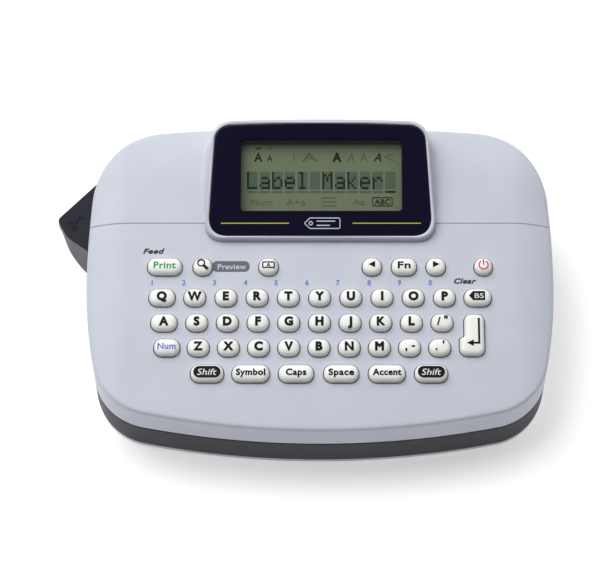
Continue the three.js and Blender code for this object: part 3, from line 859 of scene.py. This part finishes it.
def make_contacts():
    """Four cells side by side, head to tail: a spring at one end of each and a button at the other."""
    front, rear = BATTERY_BAY[1]
    parts = []
    for i, x in enumerate(battery_columns()):
        plate = rectangle((x - PLATE_HALF, x + PLATE_HALF), PLATE_HEIGHTS, 1.0, 4)
        for wall, inward in ((front, 1), (rear, -1)):
            near, far = sorted((wall + inward * 0.1, wall + inward * 0.5))
            parts.append(loft([[(px, y, pz) for px, pz in plate] for y in (far, near)]))
            if (i % 2 == 0) == (inward > 0):
                parts.append(coil(x, wall, inward))
                continue
            rings = []
            for radius, out in BUTTON:
                outline = circle(x, CONTACT_HEIGHT, radius, 20)
                rings.append([(px, wall + inward * out, pz) for px, pz in outline])
            parts.append(flipped(loft(rings)) if inward > 0 else loft(rings))
    piece("battery_contacts", "housing", [(shape, STEEL) for shape in parts])


COVER_PROFILE = ((0.9, 0.0), (0.45, 0.12), (0.25, 0.5), (0.2, COVER_TOP - 0.25), (0.45, COVER_TOP))
FEET = ((-58, -32), (58, -32), (-60, 33), (60, 33))
FOOT_PROFILE = ((3.2, 0.02), (3.7, 0.14), (3.95, 0.4), (3.95, 0.88))
FOOT_RECESS = 4.3
GRIP_WIDE, GRIP_NARROW = ((-15, 15), (30, 41), 5), ((-13.6, 13.6), (31.4, 39.6), 3.8)
RIDGES, RIDGE_START, RIDGE_PITCH, RIDGE_HALF, RIDGE_LENGTH = 5, 32.6, 1.5, 0.35, 11
LATCH_SLOT = ((-9, 9), (44, 47))
LABEL_PANEL = ((-30, 30), (-28, -8), 2)


def make_cover():
    """The cover over both bays: a thin plate with a thumb grip, four feet and a latch slot."""
    cover = object_of(stacked((flared(distance, FLARE), level) for distance, level in COVER_PROFILE))
    cut(cover, block(*LATCH_SLOT, (COVER_TOP - 0.8, COVER_TOP + 1)))
    for x, y in FEET:
        cut(cover, disc(x, y, FOOT_RECESS, -1, 0.9, 40))
    wide = rectangle(*GRIP_WIDE)
    cut(cover, stacked([(wide, -1.0), (wide, 0.0), (rectangle(*GRIP_NARROW), 1.0)]))
    for i in range(RIDGES):
        y = RIDGE_START + RIDGE_PITCH * i
        rings = []
        for half, level in ((RIDGE_HALF, 1.3), (RIDGE_HALF * 0.4, 0.35)):
            rings.append((rectangle_corners((-RIDGE_LENGTH, RIDGE_LENGTH), (y - half, y + half)), level))
        add(cover, flipped(stacked(rings)))
    panel = rectangle(*LABEL_PANEL)
    cut(cover, stacked([(inset(panel, -0.5), -1), (inset(panel, -0.2), 0.0), (panel, 0.25)]))
    dress(cover, "battery_tape_cover", "back_cover", [COVER], ["back_cover"])
    feet = []
    for x, y in FEET:
        feet.append((stacked((circle(x, y, radius, 40), level) for radius, level in FOOT_PROFILE), RUBBER))
    piece("cover_feet", "back_cover", feet)


# ---- the display ----

def on_hump(height):
    """Lays a shape given in plan on a plane parallel to the lens."""
    return lambda x, y, z: (x, y, z + height + HUMP_RISE * y)


ON_LENS = on_hump(HUMP_HEIGHT)
LENS_EDGE = ((0.0, -LENS_THICKNESS), (0.0, -0.3), (0.09, -0.09), (0.3, 0.0))
OPENING = ((0, -4), (0, -0.35), (0.5, 0.15))


def make_lens():
    plate = stacked((lens_outline(distance), level) for distance, level in LENS_EDGE)
    lens = object_of(moved(plate, ON_LENS))
    cut(lens, moved(stacked((window_outline(grow), level) for grow, level in OPENING), ON_LENS))
    dress(lens, "lens_frame", "housing", [LENS], ["display_lens"])
    pane = raised(window_outline(-0.12), -1.5, -0.55)
    piece("lens_window", "housing", [(pane, PANE)], place=ON_LENS)


def make_display_mask():
    """The dark surround between the lens and the display, which hides the shell's edge; its dark colour is
    also painted shade, standing in for the shadow that falls inside the window.
    """
    mask = object_of(moved(raised(window_outline(MASK_WALL), -3.9, -1.68), ON_LENS))
    cut(mask, moved(raised(window_outline(-0.02), -6, 1), ON_LENS))
    # dark case plastic on this surround is partly a real mask and partly painted shade inside the window
    dress(mask, "display_mask", "housing", [DARK])


LINES = ((-34.1, -10.7), (11.2, 34.7))
LINE_Y, LINE_HALF = 17.8, 0.16
TAG = ((-5.6, 17.8, 0.4), (-3.6, 15.9, 0.5), (7.0, 15.9, 0.7), (7.0, 19.7, 0.7), (-3.6, 19.7, 0.5))


def make_lens_print():
    """Two fine lines under the window and a small tag sign between them."""
    low, high = -0.02, 0.05
    across = (LINE_Y - LINE_HALF, LINE_Y + LINE_HALF)
    parts = [(block(line, across, (low, high)), LIME_INK) for line in LINES]
    outer = rounded(TAG, 4)
    for shape in (
        frame_shape(outer, inset(outer, 0.32), low, high),
        ring_shape(-3.2, LINE_Y, 0.75, 0.4, low, high),
        line_shape((-1.2, 18.5), (5.2, 18.5), 0.36, low, high),
        line_shape((-1.2, 17.1), (3.4, 17.1), 0.36, low, high),
    ):
        parts.append((shape, PALE_INK))
    piece("lens_print", "housing", parts, place=ON_LENS)


DOTS = {
    "L": "10000 10000 10000 10000 10000 10000 11111",
    "a": "00000 00000 01110 00001 01111 10001 01111",
    "b": "10000 10000 10110 11001 10001 10001 11110",
    "e": "00000 00000 01110 10001 11111 10000 01110",
    "l": "01100 00100 00100 00100 00100 00100 01110",
    "M": "10001 11011 10101 10101 10001 10001 10001",
    "k": "10000 10000 10010 10100 11000 10100 10010",
    "r": "00000 00000 10110 11001 10000 10000 10000",
}
MESSAGE = "Label Maker"
CELLS = 12
CELL_BOX = (-25.3, 26.9, 31.1, 37.0)  # left, right, front, rear of the dot-matrix line
DASH = (29.9, 30.55)
SIGNS_REAR, SIGNS_FRONT = 41.9, 26.9


def display_rows(low, high):
    """The dot-matrix line: twelve cells of five by seven dots, an underline, and a cursor in the last."""
    left, right, front, rear = CELL_BOX
    pitch = (right - left) / CELLS
    dot = pitch / 6
    rise = (rear - front) / 7
    parts = []
    for cell, letter in enumerate(MESSAGE.ljust(CELLS)):
        x = left + cell * pitch
        span = (x, x + 5 * dot)
        parts.append((block(span, (front, rear), (low - 0.02, low + 0.01)), CELL))
        parts.append((block(span, DASH, (low, high)), SEGMENT if cell == CELLS - 1 else FAINT))
        for row, line in enumerate(DOTS.get(letter, "").split()):
            for column, lit in enumerate(line):
                if lit == "1":
                    dx, dy = x + column * dot, rear - (row + 1) * rise
                    shape = block((dx - 0.02, dx + dot - 0.05), (dy, dy + rise - 0.07), (low, high))
                    parts.append((shape, SEGMENT))
    return parts


def display_signs(low, high):
    """The rows of fixed signs above and below the dot-matrix line."""
    parts = []

    def sign(text, x, y, height, finish, **style):
        parts.append((lettering(text, height, at=(x, y), thick=high, **style), finish))

    def line(start, end, width, finish=FAINT):
        parts.append((line_shape(start, end, width, low, high), finish))

    row = SIGNS_REAR
    sign("A", -21.4, row, 2.9, SEGMENT, bold=0.1)
    sign("A", -17.4, row - 0.4, 2.0, SEGMENT, bold=0.04)
    for x, half, finish in ((-21.4, 0.85, SEGMENT), (-17.4, 0.6, FAINT)):
        line((x - half, row + 2.8), (x + half, row + 2.8), 0.45, finish)
    sign("I", -9.0, row, 2.6, FAINT)
    sign("A", -3.6, row, 2.9, FAINT, width=5.4, bold=0.06)
    sign("A", 5.9, row, 2.9, SEGMENT, bold=0.22)
    sign("A", 10.4, row, 2.9, FAINT, slant=0.3)
    sign("A", 15.2, row, 2.9, FAINT)
    sign("A", 19.9, row, 2.9, SEGMENT, slant=0.3, bold=0.06)
    for end in (row + 1.2, row - 1.2):
        line((22.4, row), (25.6, end), 0.35)
    row = SIGNS_FRONT
    sign("Num", -20.2, row, 2.3, FAINT, width=7.4)
    sign("A+a", -8.4, row, 2.3, FAINT, width=6.6)
    for y in (row - 1.3, row, row + 1.3):
        line((0.4, y), (5.6, y), 0.28)
    sign("Aa", 13.4, row, 2.2, FAINT, width=4.2)
    sign("ABC", 21.6, row, 1.9, SEGMENT, width=5.4, bold=0.05)
    outer = rectangle((18.1, 25.1), (row - 1.55, row + 1.55), 0.3, 3)
    parts.append((frame_shape(outer, inset(outer, 0.28), low, high), SEGMENT))
    return parts


def make_display():
    left, right, front, rear = WINDOW
    x, y = (left - LCD_OVERLAP, right + LCD_OVERLAP), (front - LCD_OVERLAP, rear + LCD_OVERLAP)
    glass = rectangle(x, y, WINDOW_CORNER)
    profile = ((0.3, -LCD_THICKNESS), (0, -LCD_THICKNESS + 0.3), (0, -0.3), (0.3, 0))
    parts = [(stacked((inset(glass, distance), level) for distance, level in profile), GLASS)]
    parts += display_rows(0.02, 0.08) + display_signs(0.02, 0.08)
    piece("lcd_display", "housing", parts, ["lcd_panel"], on_hump(LCD_TOP))


# ---- keys ----

CAP_PROFILE = (  # how far in from the outline, and how far above the fascia
    (-0.7, -3.5), (-0.7, -2.5), (0.0, -2.45), (0.0, 0.3), (0.06, 0.8), (0.2, 1.22), (0.44, 1.56),
    (0.8, 1.84), (1.22, 2.02), (1.6, 2.1),
)
CAP_CENTRE = ((0.6, 2.16), (0.2, 2.18))
CAP_TOP = 2.19


ENTER_CENTRE = (0.4, -2.0)


def key_cap(name):
    levels = []
    for distance, level in CAP_PROFILE:
        base = outline_for(name, -min(distance, 0.0))
        levels.append((inset(base, distance) if distance > 0 else base, level))
    last = levels[-1][0]
    centre = ENTER_CENTRE if name == "enter" else (0, 0)
    return stacked(levels + [(shrunk(last, share, centre), level) for share, level in CAP_CENTRE])


def pill(x, y, length, depth):
    return rectangle((x - length / 2, x + length / 2), (y - depth / 2, y + depth / 2), depth / 2 - 0.01, 8)


def arrow_head(x, y, size, direction):
    tip = (x + direction * size * 0.55, y)
    base = x - direction * size * 0.45
    outline = [tip, (base, y + size / 2), (base, y - size / 2)]
    return outline if direction > 0 else outline[::-1]


UP = 0.3  # legends sit a little behind the middle of a cap
WORDS = {
    "symbol": ("Symbol", 2.2, 10.0), "caps": ("Caps", 2.2, 7.0), "space": ("Space", 2.2, 8.7),
    "accent": ("Accent", 2.2, 9.7), "fn": ("Fn", 2.4, 4.4), "print": ("Print", 2.4, 7.6, GREEN_INK, 0.09),
    "num": ("Num", 2.2, 6.2, BLUE_INK, 0.07),
}
MARKS = {"slash": ("/", '"'), "comma": (",", "-"), "period": (".", "'")}


def legend(name):
    """The printing on a cap, as shapes in the cap's own frame with their inks."""
    low, high = CAP_TOP - 0.12, CAP_TOP + 0.02

    def word(text, height, width=None, finish=BLACK_INK, bold=0.13, slant=0.0, at=(0, UP), lift=0.0):
        return lettering(text, height, width, bold, slant, high + lift, at), finish

    def plate(outline):
        return raised(outline, low, high), BLACK_INK

    def bar(start, end, width, finish=BLACK_INK):
        return line_shape(start, end, width, low, high), finish

    if len(name) == 1:
        return [word(name.upper(), 2.95, bold=0.25)]
    if name in WORDS:
        return [word(*WORDS[name])]
    if name in MARKS:
        first, second = MARKS[name]
        return [word(first, 2.8, at=(-1.2, UP)), word(second, 2.8, at=(1.2, UP + 0.4))]
    if name in ("left", "right"):
        return [plate(arrow_head(0, UP + 0.2, 2.3, -1 if name == "left" else 1))]
    if name.startswith("shift"):
        return [plate(pill(0, UP, 9.2, 4.0)), word("Shift", 2.3, 6.6, WHITE_INK, 0.02, 0.2, lift=0.05)]
    if name == "backspace":
        top, bottom = UP + 1.6, UP - 1.6
        tag = [(-3.1, UP), (-1.7, bottom), (2.4, bottom), (2.4, top), (-1.7, top)]
        return [plate(tag), word("BS", 1.8, 3.1, WHITE_INK, 0.02, at=(0.4, UP), lift=0.05)]
    if name == "preview":
        glass = ring_shape(-0.5, UP + 0.7, 1.4, 0.92, low, high)
        return [(glass, BLACK_INK), bar((0.4, UP - 0.3), (1.8, UP - 1.5), 1.0)]
    if name == "frame":
        outer = rectangle((-2.2, 2.2), (UP - 1.2, UP + 1.2), 0.5, 4)
        return [(frame_shape(outer, inset(outer, 0.42), low, high), BLACK_INK), word("A", 1.25, bold=0.1)]
    if name == "power":
        ring = ring_shape(0, UP, 1.75, 1.35, low, high, 122, 418)
        return [(ring, RED_INK), bar((0, UP), (0, UP + 2.0), 0.42, RED_INK)]
    if name == "enter":
        return [
            bar((1.9, 5.7), (1.9, -2.8), 0.7),
            bar((2.25, -3.1), (-0.6, -3.1), 0.7),
            plate(arrow_head(-1.0, -3.1, 2.3, -1)),
        ]
    raise ValueError("no legend for the key " + name)


def make_keys():
    for name in KEYS:
        node = "key_" + name
        parts = [(key_cap(name), KEYCAP)] + legend(name)
        piece("cap_" + name, node, parts, [node], fascia_matrix(*place_of(name)))


# ---- printing on the fascia ----

DIGITS_AT = (-57.6, -46.7, -36.2, -25.6, -15.1, -4.5, 6.1, 16.8, 27.2, 37.8)
DIGITS_Y = -2.1
BAND_END = -24.2


def make_fascia_print():
    """The digits over the top letter row, three words, and the band behind the preview key."""
    parts = []
    for digit, x in zip("1234567890", DIGITS_AT):
        parts.append((lettering(digit, 1.85, bold=0.09, at=(x, DIGITS_Y)), SKY_INK))
    parts.append((lettering("Feed", 1.8, 7.4, 0.13, 0.3, at=(-57.2, 9.1)), GREY_INK))
    parts.append((lettering("Clear", 1.8, 7.7, 0.13, 0.3, at=(49.7, -1.5)), GREY_INK))
    x, y = place_of("preview")
    band = rectangle((x + 3.2, BAND_END), (y - 1.6, y + 2.2), 1.7, 8)
    parts.append((raised(band, -0.02, 0.03), PILL_INK))
    parts.append((lettering("Preview", 1.9, 9.8, 0.06, thick=0.06, at=(-30.3, y + 0.3)), PALE_INK))
    piece("fascia_print", "housing", parts, place=lambda x, y, z: (x, y, z + shell_top(x, y)))


# ---- the cutter lever ----

WING = (
    (-80.3, 11.8, 0.5), (-74.0, 11.8, 0.3), (-74.0, 40.0, 0.6), (-76.0, 41.2, 1.0), (-91.6, 24.4, 2.0),
    (-88.0, 17.6, 8.0),
)
WING_CENTRE = (-78.5, 26.0)
WING_STEP = 1.0
LEVER_LOW, LEVER_TOP = (corner.z for corner in corners_mm("cutter_lever"))
WING_TOP = LEVER_TOP - 0.3
WING_LOWER_EDGE = ((0.45, 0.0), (0.15, 0.08), (0.03, 0.22), (0.0, 0.5))  # how far in, how far up
WING_UPPER_EDGE = ((0.0, 0.6), (0.04, 0.3), (0.16, 0.1), (0.5, 0.0))  # how far in, how far down
WING_CROWN = 0.25
SWEEP_START, SWEEP_REACH, SWEEP_DROP, SWEEP_RISE, SWEEP_POWER = -80.0, 10.0, 1.5, 15.5, 2.2
ARM = ((-78, 27, 0.5), (-46, 27, 0.5), (-46, 33, 0.5), (-78, 33, 0.5))
PIVOT = (-48, 30)
EYE_OUTER, EYE_HOLE = 4.5, 2.1
SIGN_AT, SIGN_TURN, SIGN_DEPTH = (-84.6, 23.4, 0), radians(48), 0.8


def lever_floor(x):
    """The height of the wing's underside: it sweeps up from the body towards the tip."""
    out = min(1.0, max(0.0, (SWEEP_START - x) / SWEEP_REACH))
    return LEVER_LOW - SWEEP_DROP + SWEEP_RISE * out**SWEEP_POWER


def make_lever():
    outline = divided(rounded(WING, 8), WING_STEP)
    inner = inset(outline, WING_LOWER_EDGE[0][0])
    rings = []
    for share in (0.15, 0.4, 0.65, 0.85):
        rings.append([(x, y, lever_floor(x)) for x, y in shrunk(inner, share, WING_CENTRE)])
    for distance, up in WING_LOWER_EDGE:
        rings.append([(x, y, lever_floor(x) + up) for x, y in inset(outline, distance)])
    for distance, down in WING_UPPER_EDGE:
        rings.append([(x, y, WING_TOP - down) for x, y in inset(outline, distance)])
    for share in (0.85, 0.6, 0.3, 0.1):
        level = WING_TOP + WING_CROWN * (1 - share**2)
        last = inset(outline, WING_UPPER_EDGE[-1][0])
        rings.append([(x, y, level) for x, y in shrunk(last, share, WING_CENTRE)])
    lever = object_of(loft(rings))
    add(lever, raised(rounded(ARM, 4), LEVER_TOP - 2.5, LEVER_TOP - 0.1))
    add(lever, disc(*PIVOT, EYE_OUTER, LEVER_TOP - 2.5, LEVER_TOP - 0.02, 48))
    cut(lever, disc(*PIVOT, EYE_HOLE, 0, 90, 40))
    for shape in scissors_sign():
        cut(lever, shape)
    dress(lever, "cutter_thumb_lever", "cutter", [LEVER, LEVER_TOP_SKIN], ["cutter_lever"])
    for polygon in lever.data.polygons:
        polygon.material_index = int(polygon.normal.z > 0.5)


def scissors_sign():
    """A small pair of scissors, sunk into the top of the wing."""
    low, high = LEVER_TOP - SIGN_DEPTH, LEVER_TOP + 1
    shapes = []
    for y in (1.1, -1.1):
        shapes.append(frame_shape(circle(-2.4, y, 1.0), circle(-2.4, y, 0.55), low, high))
    for side in (1, -1):
        shapes.append(line_shape((-1.5, 0.75 * side), (3.0, -0.8 * side), 0.42, low, high))
    turn = Matrix.Translation(SIGN_AT) @ Matrix.Rotation(SIGN_TURN, 4, "Z")
    return [moved(shape, turn) for shape in shapes]


# ---- pieces inside ----

CARRIED = {
    "keypad_mat": SILICONE, "main_board": BOARD, "tape_cassette": CASSETTE, "platen_roller": RUBBER,
    "print_head": CERAMIC, "feed_motor": STEEL, "motor_pinion": BRASS, "cutter_blade": STEEL,
}


def finish_carried_nodes():
    for node, finish in CARRIED.items():
        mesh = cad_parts[node].data
        mesh.materials.clear()
        mesh.materials.append(finish)


RIBS, RIB_START, RIB_PITCH = 4, 10, 2.2


def make_cassette_details():
    """A blank label and finger ribs on the face of the cassette that shows with the cover off."""
    low, high = corners_mm("tape_cassette")
    label = rectangle((low.x + 8, high.x - 8), (low.y + 8, high.y - 14), 2, 5)
    parts = [(raised(label, low.z - 0.12, low.z + 0.02), WHITE_INK)]
    for i in range(RIBS):
        y = high.y - RIB_START + RIB_PITCH * i
        bar = rectangle((low.x + 12, high.x - 12), (y, y + 1.0), 0.45, 4)
        parts.append((stacked([(inset(bar, 0.25), low.z - 0.5), (bar, low.z + 0.05)]), CASSETTE))
    piece("cassette_face", "housing", parts)


# ---- stage ----

FLOOR_REACH, FLOOR_DROP = 3000, 0.3
LAMPS = {"key_light": ((-0.62, 0.55, 1.2), 1.3, 23.5), "fill_light": ((0.7, 0.8, 1.2), 1.4, 9.0)}
TARGET = Vector((-4.5, -0.68, 25.0)) * MM
ELEVATION = radians(63)
DISTANCE = 0.9
FOCAL_LENGTH = 152.4


def floor_material():
    """A pale matt sheet, clear when looked at from below."""
    pale = bpy.data.materials.new("floor_pale")
    pale.use_nodes = True
    nodes, links = pale.node_tree.nodes, pale.node_tree.links
    shader = nodes["Principled BSDF"]
    set_inputs(shader, {
        "Base Color": (0.82, 0.82, 0.82, 1), "Roughness": 0.9, "Specular IOR Level": 0.1,
        "Emission Color": (1, 1, 1, 1), "Emission Strength": 0.4,
    })
    side = nodes.new("ShaderNodeNewGeometry")
    clear = nodes.new("ShaderNodeBsdfTransparent")
    mix = nodes.new("ShaderNodeMixShader")
    links.new(side.outputs["Backfacing"], mix.inputs["Fac"])
    links.new(shader.outputs["BSDF"], mix.inputs[1])
    links.new(clear.outputs["BSDF"], mix.inputs[2])
    links.new(mix.outputs["Shader"], nodes["Material Output"].inputs["Surface"])
    return pale


def aim(obj, place, target):
    """Puts a light or a camera in its place and turns it to a point."""
    obj.location = place
    obj.rotation_euler = (target - place).to_track_quat("-Z", "Y").to_euler()


def make_stage():
    reach = (-FLOOR_REACH, FLOOR_REACH)
    corners = [(x, y, -FLOOR_DROP) for x, y in rectangle_corners(reach, reach)]
    floor = object_of((corners, [(0, 1, 2, 3)]), "floor")
    floor.data.materials.append(floor_material())

    world = bpy.data.worlds.new("studio")
    world.use_nodes = True
    set_inputs(world.node_tree.nodes["Background"], {"Color": (0.96, 0.97, 1.0, 1), "Strength": 0.16})
    scene = bpy.context.scene
    scene.world = world
    scene.view_settings.view_transform = "Standard"

    for name, (place, size, power) in LAMPS.items():
        light = bpy.data.lights.new(name, "AREA")
        light.size = size
        light.energy = power
        aim(linked(name, light), Vector(place), Vector())

    camera = bpy.data.cameras.new("camera")
    camera.lens = FOCAL_LENGTH
    camera.sensor_width = 36
    camera.clip_start = 0.05
    scene.camera = linked("camera", camera)
    back = Vector((0, -cos(ELEVATION), sin(ELEVATION)))
    aim(scene.camera, TARGET + back * DISTANCE, TARGET)


make_stage()
make_top_shells()
make_bottom_case()
make_contacts()
make_cover()
make_lens()
make_display_mask()
make_lens_print()
make_display()
make_keys()
make_fascia_print()
make_lever()
make_cassette_details()
finish_carried_nodes()
